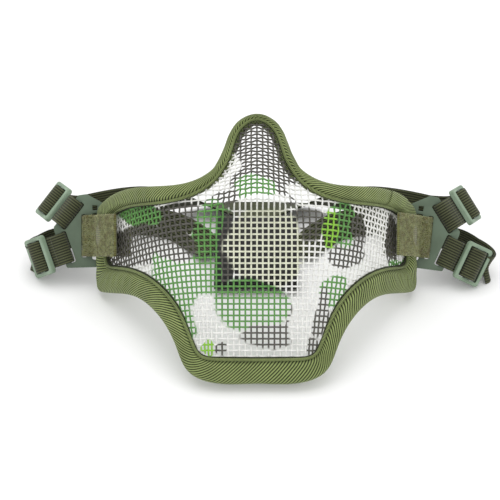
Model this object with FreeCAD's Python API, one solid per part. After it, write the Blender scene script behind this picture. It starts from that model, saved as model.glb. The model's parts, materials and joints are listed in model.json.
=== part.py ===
import FreeCAD, Part
import math
import os
from FreeCAD import Vector

# Lower-face mesh mask with a padded binding, two side plates and adjustable elastic straps.
# The mask is drawn in its own frame: X to the right, V up along the flat mouth panel, W out of
# the face. It is then leaned back about X, so that it stands on its chin edge and on the lower
# rear corners of its ears, with its front towards -Y. All lengths are in millimetres.

LEAN_DEG = 52.6            # angle between the mouth panel and the ground
SHELL_HALF = 0.4           # half thickness of the woven mesh sheet
BINDING_HALF = 3.4         # half thickness of the padded binding
FOAM_HALF = 2.2            # half thickness of the foam inside it
MESH_INSET = 0.25          # how far the mesh edge lies inside the binding, as a share of its width
FOAM_INSET = (0.12, 0.8)   # outer and inner limits of the foam, as shares of the binding's width
SLAB_DEPTH = 160.0

# The face surface: a flat mouth panel, cheeks that sweep back, and a nose ridge.
FACET_HALF = 19.0
CHEEK_REACH = 77.0
CHEEK_DEPTH = 62.6
CHEEK_POWER = 2.1
TOP_START, TOP_SOFT = 86.0, 5.0
CHIN_START, CHIN_SOFT, CHIN_SLOPE = 14.0, 6.0, 0.18
NOSE_V, NOSE_W = 82.5, 15.6
NOSE_SLOPE, NOSE_SIDE, NOSE_CREST = 0.8, 1.25, 6.0
NOSE_UNDER, NOSE_SOFT, NOSE_BLEND = 5.5, 1.8, 2.0
NOSE_ARCH, NOSE_HALF = 45.0, 18.0
EAR_END_X = 74.6           # where the ears stop, on the middle of the sheet
MESH_EAR_INSET, FOAM_EAR_INSET = 1.2, 0.6
EAR_CUT_SIZE = 60.0

# Half outlines from the nose bridge down to the chin: the outer edge and the inner edge of the
# binding, point against point.
OUTER_EDGE = [(0, 120.6), (7.8, 117), (15.4, 101.4), (26, 91.2), (50.3, 88.6), (70, 84.5), (78, 77),
              (80.5, 58), (78.5, 41.2), (66, 39.4), (54, 37.8), (42.8, 28.9), (35.8, 16.4),
              (30.5, 5.4), (19, 0.3), (0, 0)]
INNER_EDGE = [(0, 118), (5.2, 115.5), (11.8, 100.2), (24.5, 85.8), (49, 80.2), (64.5, 77), (69.2, 72.5),
              (70, 61), (69, 53.5), (63, 52.2), (49, 48.3), (35.2, 35), (28.2, 19),
              (25, 13.6), (17, 12), (0, 11.8)]
GRID_X, GRID_V = 2.5, 2.5
GRID_HALF_X, GRID_LOW_V, GRID_HIGH_V = 85.0, -5.0, 130.0

# Lap of the binding tape: its corner and size in X and V, and its rise over the binding.
LAP_CORNER, LAP_SIZE, LAP_RISE = (60.0, 74.0), (7.0, 20.0), (0.05, 1.1)

# Side plates, in a frame at the middle of the front slot: P outward, Q up, N to the front.
PLATE_THICK = 3.0
PLATE_AT = (83.0, -59.5)
PLATE_SPLAY_DEG = -5.0
PLATE_EDGE = [(-9.4, 15.4), (-0.6, 20.2), (3.4, 19.6), (15.2, 4.2), (15.0, 2.4), (8.8, -15.6),
              (-6.0, -15.2), (-6.0, -11.9), (-3.3, -11.3), (-3.3, 10.9), (-8.6, 10.9)]
PLATE_CORNER = 0.9
FRONT_SLOT = (2.6, 20.8)
SIDE_SLOT = (2.6, 15.8)
FRONT_BAR_P = -2.0         # middle of the bar that the tab holds
BAR_HALF = 1.3
UPPER_BAR = (8.21, 11.19, 0.794, 0.608)    # middle of the bar, and its outward direction
LOWER_BAR = (10.64, -6.26, 0.9455, -0.3257)
SQUARE_HOLE = (-4.6, 13.6, 2.4)

# Straps and their sliders. A strap frame has A along the strap and N out of its front.
STRAP_WIDE, STRAP_THICK = 15.0, 1.2
LOOP_RADIUS = 2.8          # middle of the strap where it goes round a plate bar
LEG_LENGTH = 3.2
TAB_WIDE, TAB_THICK = 20.0, 1.4
TAB_START_X = 62.0
TAB_FRONT_X = (62.0, 66.0, 70.0, 73.4)    # where the tab's path crosses the ear in front
TAB_BACK_X = (64.0, 68.0, 72.5)           # and behind
TAB_LEG, TAB_SEAM = 2.4, 0.3
TAB_GAP = 0.6
SLIDER_LONG, SLIDER_WIDE, SLIDER_THICK = 14.0, 19.4, 2.8
SLIDER_BAR, SLIDER_CENTRE_BAR = 1.8, 2.4
SLIDER_SLOT_WIDE = 15.8
SLIDER_CORNER, SLIDER_RIM = 1.6, 0.6
RELIEF_SIDE, RELIEF_HEIGHT = 0.2, 1.1      # the centre bar is thinner than the frame
SLIDER_LIFT = 2.96         # slider's middle above the strap's middle
SEW_RADIUS, HUMP_RADIUS, DIP_RADIUS = 2.35, 3.7, 2.4
BEND_RADIUS = 7.0
BEND_LEAD, BEND_TAIL = 0.6, 0.4

# Each strap: swing behind the plate, reach from bar to slider, slider's extra tilt, bend.
STRAPS = {
    "upper_left": (58, 12.8, 0, 90),
    "lower_left": (36, 12.8, 14, 2),
    "upper_right": (50, 13.2, 14, 70),
    "lower_right": (20, 12.8, 4, 2),
}
# Each side: +1 right or -1 left, height of its tab on the ear, drop and tilt of its plate.
SIDES = {"left": (-1, 66.8, 0.0, 0.0), "right": (1, 67.4, 1.4, 6.0)}

# Rear straps, right half, as laid: centre (its last number counts from the ground), direction
# across the strap, and direction out of its front.
REAR_UPPER = [((87, 117, 16), (-0.25, 0.35, 0.9), (0.3, 0.92, -0.25)),
              ((58, 128, 14), (-0.05, 0.2, 1), (0, 1, -0.2)),
              ((29, 135, 6.4), (0, -0.75, 0.66), (0, 0.66, 0.75))]
REAR_UPPER_MIDDLE_Y = 137.0
REAR_LOWER = [((99, 100, 9.15), (-0.1, 0.1, 1), (0.62, 0.78, 0)),
              ((70, 115.5, 7.75), (0, 0.05, 1), (0.05, 1, -0.05)),
              ((42, 115, 6.55), (0, 0.45, 0.89), (-0.25, 0.87, -0.43)),
              ((21.2, 98.5, 3.4), (0, 1, 0), (0, 0, -1))]
KEEPER = (41.0, 57.0, 6.4, 1.0)        # length, width, height, wall
KEEPER_Y = 98.5
SLACK = (36.0, 50.0, 3.4)
FLOOR_GAP = 0.25


def ease(distance, softness):
    """0 well below zero, the distance itself well above, and smooth between."""
    return (distance + math.hypot(distance, softness)) / 2


def face_height(x, v):
    """Height W of the middle of the mesh sheet."""
    reach = max(abs(x) - FACET_HALF, 0) / (CHEEK_REACH - FACET_HALF)
    cheek = CHEEK_DEPTH * reach ** CHEEK_POWER
    top = ease(v - TOP_START, TOP_SOFT)
    chin = CHIN_SLOPE * ease(CHIN_START - v, CHIN_SOFT)
    base = -(cheek + top + chin)
    arch = min(abs(x), NOSE_HALF) ** 2 / NOSE_ARCH
    ridge = NOSE_W - NOSE_SLOPE * (v - NOSE_V)
    flank = NOSE_SIDE * (math.hypot(x, NOSE_CREST) - NOSE_CREST)
    under = NOSE_UNDER * ease(NOSE_V - arch - v, NOSE_SOFT)
    return base + ease(ridge - flank - under - base, NOSE_BLEND)


def face_slopes(x, v):
    step = 0.05
    along_x = (face_height(x + step, v) - face_height(x - step, v)) / (2 * step)
    along_v = (face_height(x, v + step) - face_height(x, v - step)) / (2 * step)
    return along_x, along_v


def face_point(x, v, offset):
    """Point of the face sheet, moved along the sheet's normal."""
    along_x, along_v = face_slopes(x, v)
    normal = Vector(-along_x, -along_v, 1).normalize()
    return Vector(x, v, face_height(x, v)) + normal * offset, normal


def below(offset):
    """Everything under the face sheet after it is moved outward by the offset."""
    count_x = round(2 * GRID_HALF_X / GRID_X) + 1
    count_v = round((GRID_HIGH_V - GRID_LOW_V) / GRID_V) + 1
    rows = []
    for i in range(count_x):
        x = i * GRID_X - GRID_HALF_X
        row = []
        for j in range(count_v):
            v = GRID_LOW_V + j * GRID_V
            lift = offset * math.sqrt(1 + sum(s * s for s in face_slopes(x, v)))
            row.append(Vector(x, v, face_height(x, v) + lift))
        rows.append(row)
    surface = Part.BSplineSurface()
    surface.interpolate(rows)
    return surface.toShape().extrude(Vector(0, 0, -SLAB_DEPTH))


def outline_prism(share):
    """Prism inside the outline that lies this share of the way across the binding."""
    half = [Vector(a + (c - a) * share, b + (d - b) * share, -SLAB_DEPTH / 2)
            for (a, b), (c, d) in zip(OUTER_EDGE, INNER_EDGE)]
    other_half = [Vector(-p.x, p.y, p.z) for p in reversed(half[1:-1])]
    curve = Part.BSplineCurve()
    curve.interpolate(Points=half + other_half, PeriodicFlag=True)
    wire = Part.Wire([curve.toShape()])
    return Part.Face(wire).extrude(Vector(0, 0, SLAB_DEPTH))


def beyond_ears(x, length=EAR_CUT_SIZE):
    """Two blocks that square off the ears, behind the place x on the sheet."""
    point, normal = face_point(x, 60.0, 0)
    block = Part.makeBox(length, 2 * length, 2 * length, Vector(0, -length, -length))
    block.Placement = FreeCAD.Placement(axes(point, Vector(normal.z, 0, -normal.x), Vector(0, 1, 0)))
    return Part.makeCompound([block, block.mirror(Vector(), Vector(1, 0, 0))])


def axes(origin, x_axis, y_axis):
    """Matrix of a frame with these two axes."""
    x_axis = Vector(x_axis).normalize()
    z_axis = x_axis.cross(y_axis).normalize()
    y_axis = z_axis.cross(x_axis)
    return FreeCAD.Matrix(x_axis.x, y_axis.x, z_axis.x, origin.x,
                          x_axis.y, y_axis.y, z_axis.y, origin.y,
                          x_axis.z, y_axis.z, z_axis.z, origin.z, 0, 0, 0, 1)


def slab(prism, upper, lower):
    return prism.common(upper).cut(lower)


def ribbon(start, heading, moves, thick, wide):
    """Strap of even thickness in the XZ plane, spread along Y. A move is a length, for a straight
    run, or (radius, angle), for a bend: a positive angle turns from X towards Z."""
    place = Vector(start[0], 0, start[1])
    angle = math.radians(heading)
    left_edges, right_edges = [], []
    for move in moves:
        ahead = Vector(math.cos(angle), 0, math.sin(angle))
        side = Vector(-ahead.z, 0, ahead.x)
        if isinstance(move, tuple):
            radius, turn = move
            sign = 1 if turn > 0 else -1
            centre = place + side * radius * sign
            spokes = []
            for part in (0, 0.5, 1):
                spoke_angle = angle - sign * math.pi / 2 + math.radians(turn) * part
                spokes.append(Vector(math.cos(spoke_angle), 0, math.sin(spoke_angle)))
            for edges, gap in ((left_edges, -sign * thick / 2), (right_edges, sign * thick / 2)):
                edges.append(Part.Arc(*[centre + s * (radius + gap) for s in spokes]).toShape())
            place = centre + spokes[2] * radius
            angle += math.radians(turn)
        else:
            end = place + ahead * move
            left_edges.append(Part.LineSegment(place + side * thick / 2, end + side * thick / 2).toShape())
            right_edges.append(Part.LineSegment(place - side * thick / 2, end - side * thick / 2).toShape())
            place = end
    caps = []
    for index, vertex in ((0, 0), (-1, 1)):
        ends = []
        for edges in (left_edges, right_edges):
            edge = edges[index]
            ends.append(edge.valueAt(edge.FirstParameter if vertex == 0 else edge.LastParameter))
        caps.append(Part.LineSegment(*ends).toShape())
    wire = Part.Wire(Part.__sortEdges__(left_edges + right_edges + caps))
    solid = Part.Face(wire).extrude(Vector(0, wide, 0))
    solid.translate(Vector(0, -wide / 2, 0))
    return solid


def band(stations, wide, thick):
    """Strap lofted through rectangles at (centre, across, front)."""
    wires = []
    for centre, across, front in stations:
        half_wide = Vector(across).normalize() * wide / 2
        half_thick = Vector(front).normalize() * thick / 2
        corners = [centre + half_wide + half_thick, centre - half_wide + half_thick,
                   centre - half_wide - half_thick, centre + half_wide - half_thick]
        wires.append(Part.makePolygon(corners + corners[:1]))
    return Part.makeLoft(wires, True, False)


def rounded_prism(points, corner, thick):
    """Flat plate between -thick/2 and +thick/2 with rounded corners."""
    wire = Part.makePolygon([Vector(p, q, -thick / 2) for p, q in points + points[:1]])
    solid = Part.Face(wire).extrude(Vector(0, 0, thick))
    upright = [e for e in solid.Edges if abs(e.Vertexes[0].Z - e.Vertexes[-1].Z) > thick / 2]
    return solid.makeFillet(corner, upright)


def rectangle(length, width):
    return [(-length / 2, -width / 2), (length / 2, -width / 2), (length / 2, width / 2),
            (-length / 2, width / 2)]


def plate():
    """Side plate: a front slot for the tab and two side slots for the straps."""
    body = rounded_prism(PLATE_EDGE, PLATE_CORNER, PLATE_THICK)
    slot = rounded_prism(rectangle(*FRONT_SLOT), PLATE_CORNER, 2 * PLATE_THICK)
    slot.translate(Vector(FRONT_BAR_P + BAR_HALF + FRONT_SLOT[0] / 2, 0, 0))
    body = body.cut(slot)
    for p, q, out_p, out_q in (UPPER_BAR, LOWER_BAR):
        slot = rounded_prism(rectangle(*SIDE_SLOT), PLATE_CORNER, 2 * PLATE_THICK)
        slot.translate(Vector(-BAR_HALF - SIDE_SLOT[0] / 2, 0, 0))
        slot.Placement = FreeCAD.Placement(axes(Vector(p, q, 0), Vector(out_p, out_q, 0),
                                                Vector(-out_q, out_p, 0))).multiply(slot.Placement)
        body = body.cut(slot)
    p, q, side = SQUARE_HOLE
    corner = Vector(p - side / 2, q - side / 2, -PLATE_THICK)
    return body.cut(Part.makeBox(side, side, 2 * PLATE_THICK, corner))


def slider():
    """Three-bar strap adjuster."""
    body = rounded_prism(rectangle(SLIDER_LONG, SLIDER_WIDE), SLIDER_CORNER, SLIDER_THICK)
    rims = [e for e in body.Edges if abs(e.BoundBox.ZLength) < 0.01]
    body = body.makeFillet(SLIDER_RIM, rims)
    slot_long = (SLIDER_LONG - 2 * SLIDER_BAR - SLIDER_CENTRE_BAR) / 2
    for sign in (1, -1):
        slot = rounded_prism(rectangle(slot_long, SLIDER_SLOT_WIDE), SLIDER_RIM, 2 * SLIDER_THICK)
        slot.translate(Vector(sign * (SLIDER_CENTRE_BAR + slot_long) / 2, 0, 0))
        body = body.cut(slot)
    relief = SLIDER_CENTRE_BAR + 2 * RELIEF_SIDE
    trim = Part.makeBox(relief, SLIDER_SLOT_WIDE, SLIDER_THICK,
                        Vector(-relief / 2, -SLIDER_SLOT_WIDE / 2, RELIEF_HEIGHT))
    return body.cut(trim).cut(trim.mirror(Vector(), Vector(0, 0, 1)))


def strap_loop():
    """Strap round a plate's bar, in the strap frame at the bar."""
    moves = [LEG_LENGTH, (LOOP_RADIUS, 180), LEG_LENGTH]
    return ribbon((LEG_LENGTH, LOOP_RADIUS), 180, moves, STRAP_THICK, STRAP_WIDE)


def sewn_end():
    """Strap end sewn round the slider's centre bar, in the slider's frame."""
    moves = [(SEW_RADIUS, -270), (3.0, 14), 4.5, (3.0, -14), 1.5]
    return ribbon((-SEW_RADIUS, 0), 90, moves, STRAP_THICK, STRAP_WIDE)


def strap_bend(turn):
    """Strap over the slider's centre bar and round the bend behind it."""
    moves = [1.3, (DIP_RADIUS, 90), (HUMP_RADIUS, -180), (DIP_RADIUS, 90), BEND_LEAD,
             (BEND_RADIUS, -turn), BEND_TAIL]
    return ribbon((-SLIDER_LONG / 2 - 0.3, -DIP_RADIUS), 0, moves, STRAP_THICK, STRAP_WIDE)


def plate_frame(side):
    """Frame of a side plate on the right half of the mask."""
    _, tab_v, drop, tilt = SIDES[side]
    splay, turn = math.radians(PLATE_SPLAY_DEG), math.radians(tilt)
    out = Vector(math.cos(splay), 0, -math.sin(splay))
    up = Vector(0, 1, 0)
    origin = Vector(PLATE_AT[0], tab_v - drop, PLATE_AT[1])
    return FreeCAD.Placement(axes(origin, out * math.cos(turn) - up * math.sin(turn),
                                  out * math.sin(turn) + up * math.cos(turn)))


def strap_frame(name):
    """Frame of a strap at its plate bar: A along the strap, across the bar, N to the front."""
    level, side = name.split("_")
    p, q, out_p, out_q = UPPER_BAR if level == "upper" else LOWER_BAR
    swing = math.radians(STRAPS[name][0])
    along = Vector(out_p * math.cos(swing), out_q * math.cos(swing), -math.sin(swing))
    local = FreeCAD.Placement(axes(Vector(p, q, 0), along, Vector(-out_q, out_p, 0)))
    return plate_frame(side).multiply(local)


def slider_frame(name):
    """Frame of a slider: its middle, A along the strap, N to the front."""
    _, reach, tilt, _ = STRAPS[name]
    spin = FreeCAD.Rotation(Vector(0, 1, 0), tilt)
    return strap_frame(name).multiply(FreeCAD.Placement(Vector(reach, 0, SLIDER_LIFT), spin))


def tab(side):
    """Fabric tab: from the ear's front, round the plate's front bar, to the ear's back."""
    _, tab_v, drop, _ = SIDES[side]
    frame = plate_frame(side)
    turn = frame.Rotation
    across_end = turn.multVec(Vector(0, 1, 0))
    moves = [TAB_LEG, (LOOP_RADIUS, -180), TAB_LEG]
    loop = ribbon((FRONT_BAR_P - TAB_LEG, LOOP_RADIUS), 0, moves, TAB_THICK, TAB_WIDE)
    loop.Placement = frame.multiply(loop.Placement)
    pieces = [loop]
    for face, places in ((1, TAB_FRONT_X), (-1, TAB_BACK_X)):
        stations = []
        for x in places:
            sink = drop * 0.5 * (x - TAB_START_X) / (EAR_END_X - TAB_START_X)
            centre, normal = face_point(x, tab_v - sink, face * (BINDING_HALF + TAB_GAP + TAB_THICK / 2))
            stations.append((centre, Vector(0, 1, 0), normal * face))
        end = frame.multVec(Vector(FRONT_BAR_P - TAB_LEG + TAB_SEAM, 0, face * LOOP_RADIUS))
        stations.append((end, across_end, turn.multVec(Vector(0, 0, face))))
        pieces.append(band(stations, TAB_WIDE, TAB_THICK))
    return pieces[0].fuse(pieces[1:]).removeSplitter()


def laid(stations, sign, floor):
    """Strap stations on one side, with their heights above the ground."""
    return [(Vector(sign * c[0], c[1], floor + c[2]), Vector(sign * a[0], a[1], a[2]),
             Vector(sign * f[0], f[1], f[2])) for c, a, f in stations]


def rear_upper(floor):
    """Upper rear strap: slack between the sliders, lying flat on the ground in the middle."""
    lying = floor + FLOOR_GAP + STRAP_THICK / 2
    middle = [(Vector(0, REAR_UPPER_MIDDLE_Y, lying), Vector(0, -1, 0), Vector(0, 0, 1))]
    stations = laid(REAR_UPPER, -1, floor) + middle + laid(REAR_UPPER, 1, floor)[::-1]
    return band(stations, STRAP_WIDE, STRAP_THICK)


def rear_lower(sign, floor):
    """Lower rear strap on one side, from behind the slider to the keeper."""
    return band(laid(REAR_LOWER, sign, floor), STRAP_WIDE, STRAP_THICK)


def stadium(length, width, height):
    """Flat bar with round long edges, its length along X."""
    radius = height / 2
    reach = width / 2 - radius
    corners = [Vector(0, -reach, -radius), Vector(0, reach, -radius), Vector(0, reach, radius),
               Vector(0, -reach, radius)]
    edges = [Part.LineSegment(corners[0], corners[1]).toShape(),
             Part.Arc(corners[1], Vector(0, width / 2, 0), corners[2]).toShape(),
             Part.LineSegment(corners[2], corners[3]).toShape(),
             Part.Arc(corners[3], Vector(0, -width / 2, 0), corners[0]).toShape()]
    solid = Part.Face(Part.Wire(edges)).extrude(Vector(length, 0, 0))
    solid.translate(Vector(-length / 2, 0, 0))
    return solid


def keeper_and_slack(floor):
    length, width, height, wall = KEEPER
    place = Vector(0, KEEPER_Y, floor + FLOOR_GAP + height / 2)
    sleeve = stadium(length, width, height)
    sleeve = sleeve.cut(stadium(length + 2, width - 2 * wall, height - 2 * wall))
    bundle = stadium(*SLACK)
    for solid in (sleeve, bundle):
        solid.translate(place)
    return sleeve, bundle


def mask_parts():
    """Mesh, binding, foam and tape lap in the mask's frame."""
    ears = beyond_ears(EAR_END_X)
    outside = outline_prism(0).cut(ears)
    inside = outline_prism(1)
    binding = slab(outside, below(BINDING_HALF), below(-BINDING_HALF)).cut(inside)
    mesh_edge = outline_prism(MESH_INSET).cut(beyond_ears(EAR_END_X - MESH_EAR_INSET))
    shell = slab(mesh_edge, below(SHELL_HALF), below(-SHELL_HALF))
    foam_room = outline_prism(FOAM_INSET[0]).cut(beyond_ears(EAR_END_X - FOAM_EAR_INSET))
    foam = slab(foam_room, below(FOAM_HALF), below(-FOAM_HALF)).cut(outline_prism(FOAM_INSET[1]))
    binding = binding.cut(foam)
    lap_block = Part.makeBox(*LAP_SIZE, SLAB_DEPTH, Vector(*LAP_CORNER, -SLAB_DEPTH / 2))
    lap_block = lap_block.common(outside).cut(inside)
    lap = slab(lap_block, below(BINDING_HALF + LAP_RISE[1]), below(BINDING_HALF + LAP_RISE[0]))
    return {"mesh_shell": shell, "edge_binding": binding, "edge_foam": foam, "binding_lap": lap}


def placed(solid, frame, sign):
    """The solid in its frame on the right half, or mirrored to the left half."""
    solid.Placement = frame.multiply(solid.Placement)
    return solid if sign > 0 else solid.mirror(Vector(), Vector(1, 0, 0))


def main():
    lean = FreeCAD.Rotation(Vector(1, 0, 0), LEAN_DEG)
    parts = mask_parts()
    for side, (sign, *_rest) in SIDES.items():
        parts["tab_" + side] = placed(tab(side), FreeCAD.Placement(), sign)
        parts["plate_" + side] = placed(plate(), plate_frame(side), sign)
    for name, (_, _, _, turn) in STRAPS.items():
        sign = SIDES[name.split("_")[1]][0]
        parts["strap_loop_" + name] = placed(strap_loop(), strap_frame(name), sign)
        parts["slider_" + name] = placed(slider(), slider_frame(name), sign)
        parts["sewn_end_" + name] = placed(sewn_end(), slider_frame(name), sign)
        parts["strap_bend_" + name] = placed(strap_bend(turn), slider_frame(name), sign)
    for solid in parts.values():
        solid.Placement = FreeCAD.Placement(Vector(), lean).multiply(solid.Placement)
    floor = parts["edge_binding"].optimalBoundingBox(False).ZMin
    parts["rear_strap_upper"] = rear_upper(floor)
    for side, (sign, *_rest) in SIDES.items():
        parts["rear_strap_lower_" + side] = rear_lower(sign, floor)
    parts["strap_keeper"], parts["strap_slack"] = keeper_and_slack(floor)
    boxes = [solid.optimalBoundingBox(False) for solid in parts.values()]
    shift = Vector(-(min(b.XMin for b in boxes) + max(b.XMax for b in boxes)) / 2,
                   -(min(b.YMin for b in boxes) + max(b.YMax for b in boxes)) / 2,
                   -min(b.ZMin for b in boxes))
    os.makedirs("parts", exist_ok=True)
    for name, solid in parts.items():
        solid.translate(shift)
        solid.exportStep("parts/" + name + ".step")
        box = solid.optimalBoundingBox(False)
        print(f"{name:26s} solids {len(solid.Solids)} valid {solid.isValid()} volume {solid.Volume:9.1f}",
              [round(v, 1) for v in (box.XMin, box.XMax, box.YMin, box.YMax, box.ZMin, box.ZMax)])
    print("shift", shift)


main()
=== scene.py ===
import json
import math

import bmesh
import bpy
import numpy as np
from mathutils import Matrix, Vector

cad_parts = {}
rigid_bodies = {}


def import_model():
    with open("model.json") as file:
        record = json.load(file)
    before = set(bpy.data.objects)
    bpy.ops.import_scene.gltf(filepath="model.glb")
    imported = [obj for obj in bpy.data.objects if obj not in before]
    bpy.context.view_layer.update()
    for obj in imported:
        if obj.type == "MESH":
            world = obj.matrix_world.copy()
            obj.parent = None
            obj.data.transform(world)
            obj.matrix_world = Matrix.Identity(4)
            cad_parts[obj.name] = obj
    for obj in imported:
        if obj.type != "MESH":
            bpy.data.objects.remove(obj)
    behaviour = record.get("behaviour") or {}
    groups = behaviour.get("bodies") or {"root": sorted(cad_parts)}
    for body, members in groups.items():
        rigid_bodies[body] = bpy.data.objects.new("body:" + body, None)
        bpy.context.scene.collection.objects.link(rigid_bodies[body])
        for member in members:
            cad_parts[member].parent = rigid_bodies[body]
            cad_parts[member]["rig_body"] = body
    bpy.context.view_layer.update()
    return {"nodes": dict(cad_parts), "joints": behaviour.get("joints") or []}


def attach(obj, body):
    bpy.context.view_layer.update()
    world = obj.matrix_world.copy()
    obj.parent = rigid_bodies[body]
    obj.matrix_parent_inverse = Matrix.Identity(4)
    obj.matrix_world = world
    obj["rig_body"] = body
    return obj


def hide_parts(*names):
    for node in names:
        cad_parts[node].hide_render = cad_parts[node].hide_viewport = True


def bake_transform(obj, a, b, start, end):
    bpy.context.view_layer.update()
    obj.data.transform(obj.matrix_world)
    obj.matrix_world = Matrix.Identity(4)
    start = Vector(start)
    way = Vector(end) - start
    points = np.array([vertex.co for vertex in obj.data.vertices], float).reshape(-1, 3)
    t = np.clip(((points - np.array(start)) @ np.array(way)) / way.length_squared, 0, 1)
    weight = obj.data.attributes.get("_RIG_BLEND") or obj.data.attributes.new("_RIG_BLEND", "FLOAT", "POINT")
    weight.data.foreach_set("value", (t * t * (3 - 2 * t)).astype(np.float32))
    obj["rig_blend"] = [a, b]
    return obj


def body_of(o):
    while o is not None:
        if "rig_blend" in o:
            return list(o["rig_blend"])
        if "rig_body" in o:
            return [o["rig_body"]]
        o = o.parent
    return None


# Camo face mask. Shapes are worked out in millimetres in the mask's own frame (X right, V up
# along the mouth panel, W out of the face), leaned back and shifted into the record's frame, and
# only then turned into metres.

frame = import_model()
SCENE = bpy.context.scene
rng = np.random.default_rng(41)

# ---- dimensions of the mask
LEAN = math.radians(52.6)
BINDING_HALF = 3.4                 # half the binding's thickness
FACET_HALF, CHEEK_REACH, CHEEK_DEPTH, CHEEK_POWER = 19.0, 77.0, 62.6, 2.1
TOP_START, TOP_SOFT = 86.0, 5.0
CHIN_START, CHIN_SOFT, CHIN_SLOPE = 14.0, 6.0, 0.18
NOSE_V, NOSE_W = 82.5, 15.6
NOSE_SLOPE, NOSE_SIDE, NOSE_CREST = 0.8, 1.25, 6.0
NOSE_UNDER, NOSE_SOFT, NOSE_BLEND = 5.5, 1.8, 2.0
NOSE_ARCH, NOSE_HALF = 45.0, 18.0
EAR_END_X, EAR_END_SOFT = 74.6, 0.8    # where the ears stop, and how sharply

# Half outlines from the nose bridge down to the chin: the outer and the inner edge of the binding.
OUTER_EDGE = [(0, 120.6), (7.8, 117), (15.4, 101.4), (26, 91.2), (50.3, 88.6), (70, 84.5), (78, 77),
              (80.5, 58), (78.5, 41.2), (66, 39.4), (54, 37.8), (42.8, 28.9), (35.8, 16.4),
              (30.5, 5.4), (19, 0.3), (0, 0)]
INNER_EDGE = [(0, 118), (5.2, 115.5), (11.8, 100.2), (24.5, 85.8), (49, 80.2), (64.5, 77), (69.2, 72.5),
              (70, 61), (69, 53.5), (63, 52.2), (49, 48.3), (35.2, 35), (28.2, 19),
              (25, 13.6), (17, 12), (0, 11.8)]

# Side plates, in a frame at the middle of the front slot: P outward, Q up, N to the front. Each
# rear bar has its middle in P and Q and its outward direction.
PLATE_AT = (83.0, -59.5)
PLATE_SPLAY = math.radians(-5)
FRONT_BAR_P = -2.0
UPPER_BAR = (8.21, 11.19, 0.794, 0.608)
LOWER_BAR = (10.64, -6.26, 0.9455, -0.3257)
PLATE_BEVEL = 0.45 / 1000

# Elastic straps, tabs and sliders. A strap frame has A along the strap and N out of its front.
STRAP_WIDE, STRAP_THICK = 15.0, 1.2
LOOP_RADIUS, LEG_LENGTH = 2.8, 3.2
TAB_WIDE, TAB_THICK, TAB_GAP = 20.0, 1.4, 0.6
TAB_FRONT_X = (62.0, 65.0, 68.0, 71.0)     # where the tab's path crosses the ear in front
TAB_BACK_X = (72.5, 68.0, 64.0)            # and behind
TAB_LEG = 2.4
SLIDER_LONG, SLIDER_LIFT = 14.0, 2.96
SEW_RADIUS, HUMP_RADIUS, DIP_RADIUS = 2.35, 3.7, 2.4
SEW_LEG, SEW_TILT_DEG, SEW_RISE, SEW_END = 3.0, 14, 4.5, 1.5
BEND_START, BEND_RADIUS, BEND_LEAD, BEND_TAIL = 1.3, 7.0, 0.6, 0.4

# Each strap: swing behind the plate, reach from bar to slider, slider's extra tilt, bend.
STRAPS = {
    "upper_left": (58, 12.8, 0, 90),
    "lower_left": (36, 12.8, 14, 2),
    "upper_right": (50, 13.2, 14, 70),
    "lower_right": (20, 12.8, 4, 2),
}
# Each side: +1 right or -1 left, height of its tab on the ear, drop and tilt of its plate.
SIDES = {"left": (-1, 66.8, 0.0, 0.0), "right": (1, 67.4, 1.4, 6.0)}

# The strap keeper and the slack folded in it: length, width, height and wall.
KEEPER = (41.0, 57.0, 6.4, 1.0)
KEEPER_Y = 98.5
SLACK_LONG, SLACK_RADIUS = 35.0, 1.1
FLOOR_GAP = 0.25
FLOOR_RISE = 0.6                   # the straps' lowest level, over the ground


# ---- small geometry helpers
def unit(v):
    v = np.asarray(v, float)
    return v / np.linalg.norm(v, axis=-1, keepdims=True)


def lengths_along(points):
    """Length from the first point to each."""
    return np.concatenate([[0], np.cumsum(np.linalg.norm(np.diff(points, axis=0), axis=1))])


def signed_power(a, power):
    return np.sign(a) * np.abs(a) ** power


def ease(d, soft):
    """0 well below zero, the distance itself well above, and smooth between."""
    return (d + np.hypot(d, soft)) / 2


def base_height(x, v):
    """Height W of the mesh as it would be without the nose."""
    reach = np.maximum(np.abs(x) - FACET_HALF, 0) / (CHEEK_REACH - FACET_HALF)
    chin = CHIN_SLOPE * ease(CHIN_START - v, CHIN_SOFT)
    return -(CHEEK_DEPTH * reach ** CHEEK_POWER + ease(v - TOP_START, TOP_SOFT) + chin)


def face_height(x, v):
    """Height W of the middle of the mesh."""
    base = base_height(x, v)
    arch = np.minimum(np.abs(x), NOSE_HALF) ** 2 / NOSE_ARCH
    ridge = NOSE_W - NOSE_SLOPE * (v - NOSE_V)
    flank = NOSE_SIDE * (np.hypot(x, NOSE_CREST) - NOSE_CREST)
    under = NOSE_UNDER * ease(NOSE_V - arch - v, NOSE_SOFT)
    return base + ease(ridge - flank - under - base, NOSE_BLEND)


def slope_across(height, x, v, step=0.05):
    """How steeply a height rises along X."""
    return (height(x + step, v) - height(x - step, v)) / (2 * step)


def face_point(x, v, offset, step=0.1):
    """Points at an offset along the sheet's normal, and the normals."""
    x, v = np.asarray(x, float), np.asarray(v, float)
    sx = slope_across(face_height, x, v, step)
    sv = (face_height(x, v + step) - face_height(x, v - step)) / (2 * step)
    normal = unit(np.stack([-sx, -sv, np.ones_like(sx)], -1))
    return np.stack([x, v, face_height(x, v)], -1) + normal * np.asarray(offset)[..., None], normal


def lean(p):
    """Mask frame to the leaned frame, both in millimetres."""
    c, s = math.cos(LEAN), math.sin(LEAN)
    p = np.asarray(p, float)
    return np.stack([p[..., 0], c * p[..., 1] - s * p[..., 2], s * p[..., 1] + c * p[..., 2]], -1)


def axes(origin, x_axis, y_axis):
    """Frame as a 4 by 4 matrix, from its origin, its X axis and a direction near its Y axis."""
    x_axis = unit(x_axis)
    z_axis = unit(np.cross(x_axis, y_axis))
    made = np.eye(4)
    made[:3] = np.stack([x_axis, np.cross(z_axis, x_axis), z_axis, origin], -1)
    return made


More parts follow.
